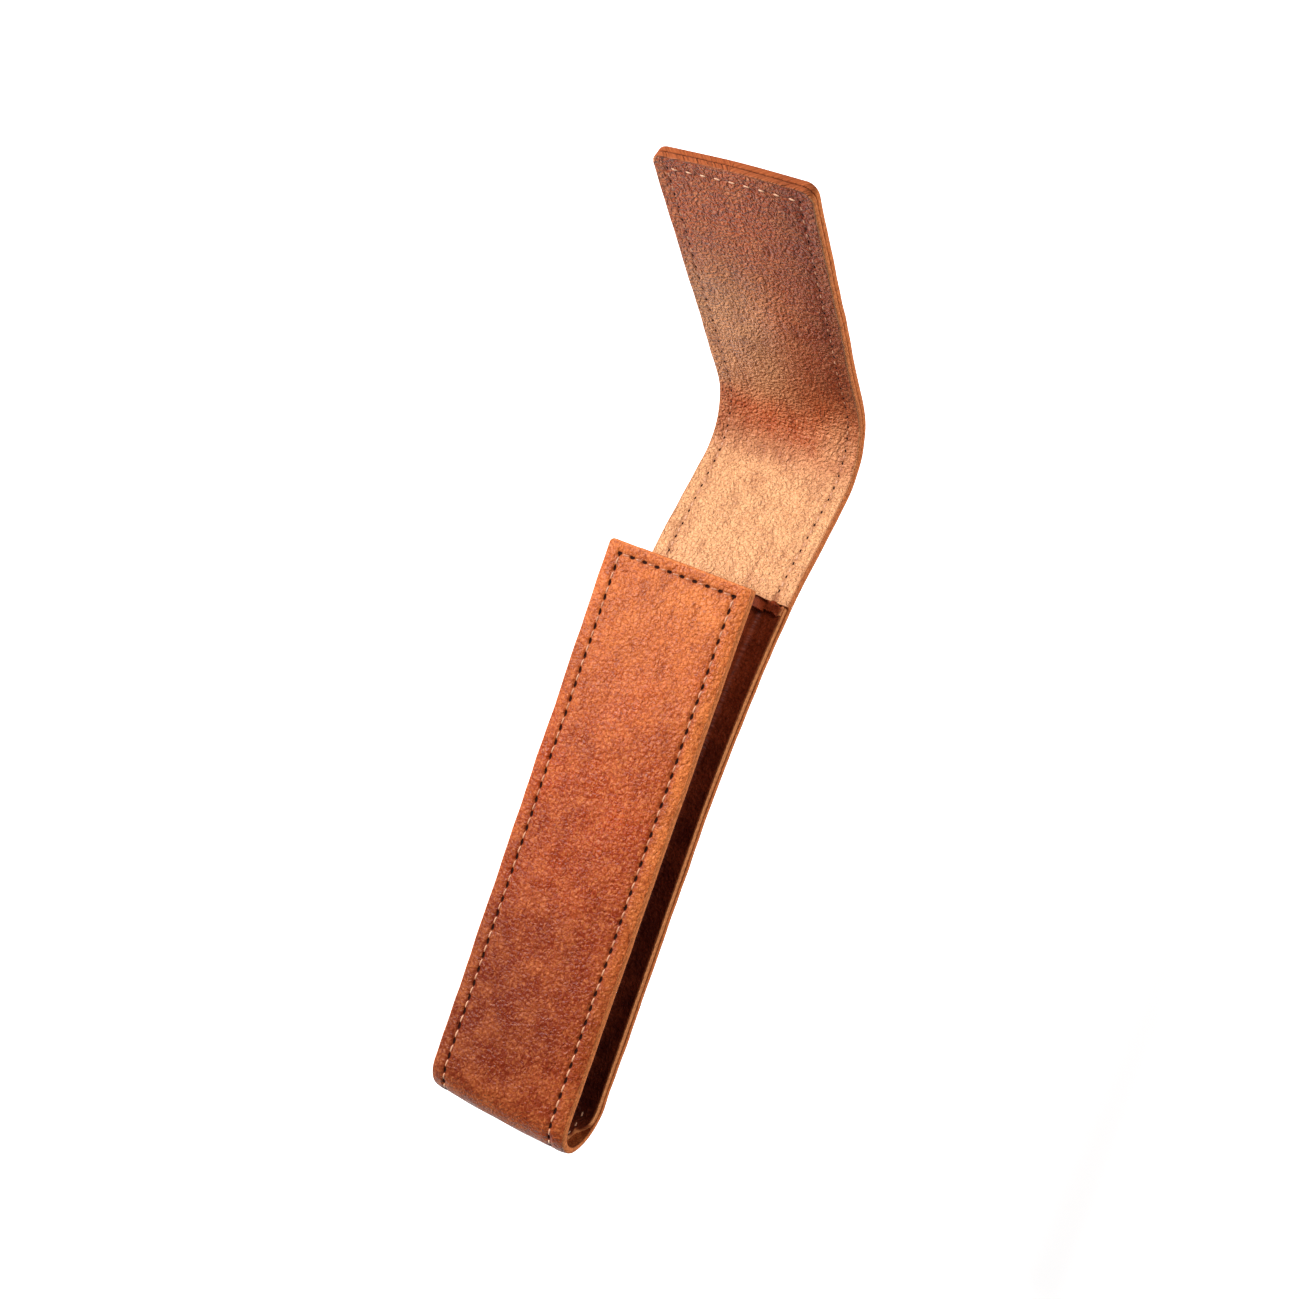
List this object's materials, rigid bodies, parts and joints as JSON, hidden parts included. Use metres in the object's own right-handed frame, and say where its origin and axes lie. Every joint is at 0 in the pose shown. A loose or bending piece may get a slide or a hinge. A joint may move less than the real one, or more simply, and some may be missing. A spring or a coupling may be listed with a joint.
{
  "type": "pen sleeve",
  "caption": "Slim leather sleeve for a single pen: strap folded into a gusseted pocket with a lined fold-over flap.",
  "frame": {"origin": "centre of the flat part of the back panel's outer face, which the sleeve lies on", "axes": "+Y along the sleeve from its foot to its mouth, +Z out of the front panel, +X across it; it lies on its back"},
  "size_m": [0.03, 0.1733, 0.0555],
  "materials": {
    "outer_leather": "cognac pull-up leather, fine pebble grain, satin",
    "lining_leather": "cognac leather, fine grain, satin",
    "gusset_leather": "dark red-brown leather, satin",
    "thread": "waxed tan thread",
    "magnet_steel": "nickel plated"
  },
  "bodies": {
    "sleeve": {"outer_wrap": "outer_leather", "gusset_left": "gusset_leather", "gusset_right": "gusset_leather", "front_facing": "lining_leather", "pocket_lining": "lining_leather", "front_magnet": "magnet_steel", "seam_left": "thread", "seam_right": "thread", "mouth_seam": "thread"},
    "neck": {"neck_outer": "outer_leather", "neck_lining": "lining_leather", "neck_seam": "thread"},
    "crease_1": {"crease_outer_1": "outer_leather", "crease_lining_1": "lining_leather", "crease_seam_1": "thread"},
    "crease_2": {"crease_outer_2": "outer_leather", "crease_lining_2": "lining_leather", "crease_seam_2": "thread"},
    "crease_3": {"crease_outer_3": "outer_leather", "crease_lining_3": "lining_leather", "crease_seam_3": "thread"},
    "crease_4": {"crease_outer_4": "outer_leather", "crease_lining_4": "lining_leather", "crease_seam_4": "thread"},
    "fold_1": {"fold_outer_1": "outer_leather", "fold_lining_1": "lining_leather", "fold_seam_1": "thread"},
    "fold_2": {"fold_outer_2": "outer_leather", "fold_lining_2": "lining_leather", "fold_seam_2": "thread"},
    "fold_3": {"fold_outer_3": "outer_leather", "fold_lining_3": "lining_leather", "fold_seam_3": "thread"},
    "flap": {"flap_outer": "outer_leather", "flap_lining": "lining_leather", "flap_magnet": "magnet_steel", "flap_seam": "thread"}
  },
  "joints": [
    {"name": "neck_bend", "type": "hinge", "parent": "sleeve", "child": "neck", "pos_m": [0, 0.07417, -0.00444], "axis": [1, 0, 0], "range_deg": [-40, 20.4]},
    {"name": "crease_bend_1", "type": "hinge", "parent": "neck", "child": "crease_1", "pos_m": [0, 0.09283, -0.01115], "axis": [1, 0, 0], "range_deg": [-20, 0]},
    {"name": "crease_bend_2", "type": "hinge", "parent": "crease_1", "child": "crease_2", "pos_m": [0, 0.09774, -0.01205], "axis": [1, 0, 0], "range_deg": [-20, 0]},
    {"name": "crease_bend_3", "type": "hinge", "parent": "crease_2", "child": "crease_3", "pos_m": [0, 0.10266, -0.01122], "axis": [1, 0, 0], "range_deg": [-20, 0]},
    {"name": "crease_bend_4", "type": "hinge", "parent": "crease_3", "child": "crease_4", "pos_m": [0, 0.107, -0.00875], "axis": [1, 0, 0], "range_deg": [-20, 0]},
    {"name": "fold_bend_1", "type": "hinge", "parent": "crease_4", "child": "fold_1", "pos_m": [0, 0.11023, -0.00495], "axis": [1, 0, 0], "range_deg": [0, 25]},
    {"name": "fold_bend_2", "type": "hinge", "parent": "fold_1", "child": "fold_2", "pos_m": [0, 0.11222, -0.00157], "axis": [1, 0, 0], "range_deg": [0, 25]},
    {"name": "fold_bend_3", "type": "hinge", "parent": "fold_2", "child": "fold_3", "pos_m": [0, 0.1142, 0.00181], "axis": [1, 0, 0], "range_deg": [0, 25]},
    {"name": "fold_bend_4", "type": "hinge", "parent": "fold_3", "child": "flap", "pos_m": [0, 0.11619, 0.0052], "axis": [1, 0, 0], "range_deg": [0, 25]}
  ],
  "couplings": [
    {"joint": "crease_bend_2", "follows": "crease_bend_1", "ratio": 1},
    {"joint": "crease_bend_3", "follows": "crease_bend_1", "ratio": 1},
    {"joint": "crease_bend_4", "follows": "crease_bend_1", "ratio": 1},
    {"joint": "fold_bend_2", "follows": "fold_bend_1", "ratio": 1},
    {"joint": "fold_bend_3", "follows": "fold_bend_1", "ratio": 1},
    {"joint": "fold_bend_4", "follows": "fold_bend_1", "ratio": 1}
  ]
}
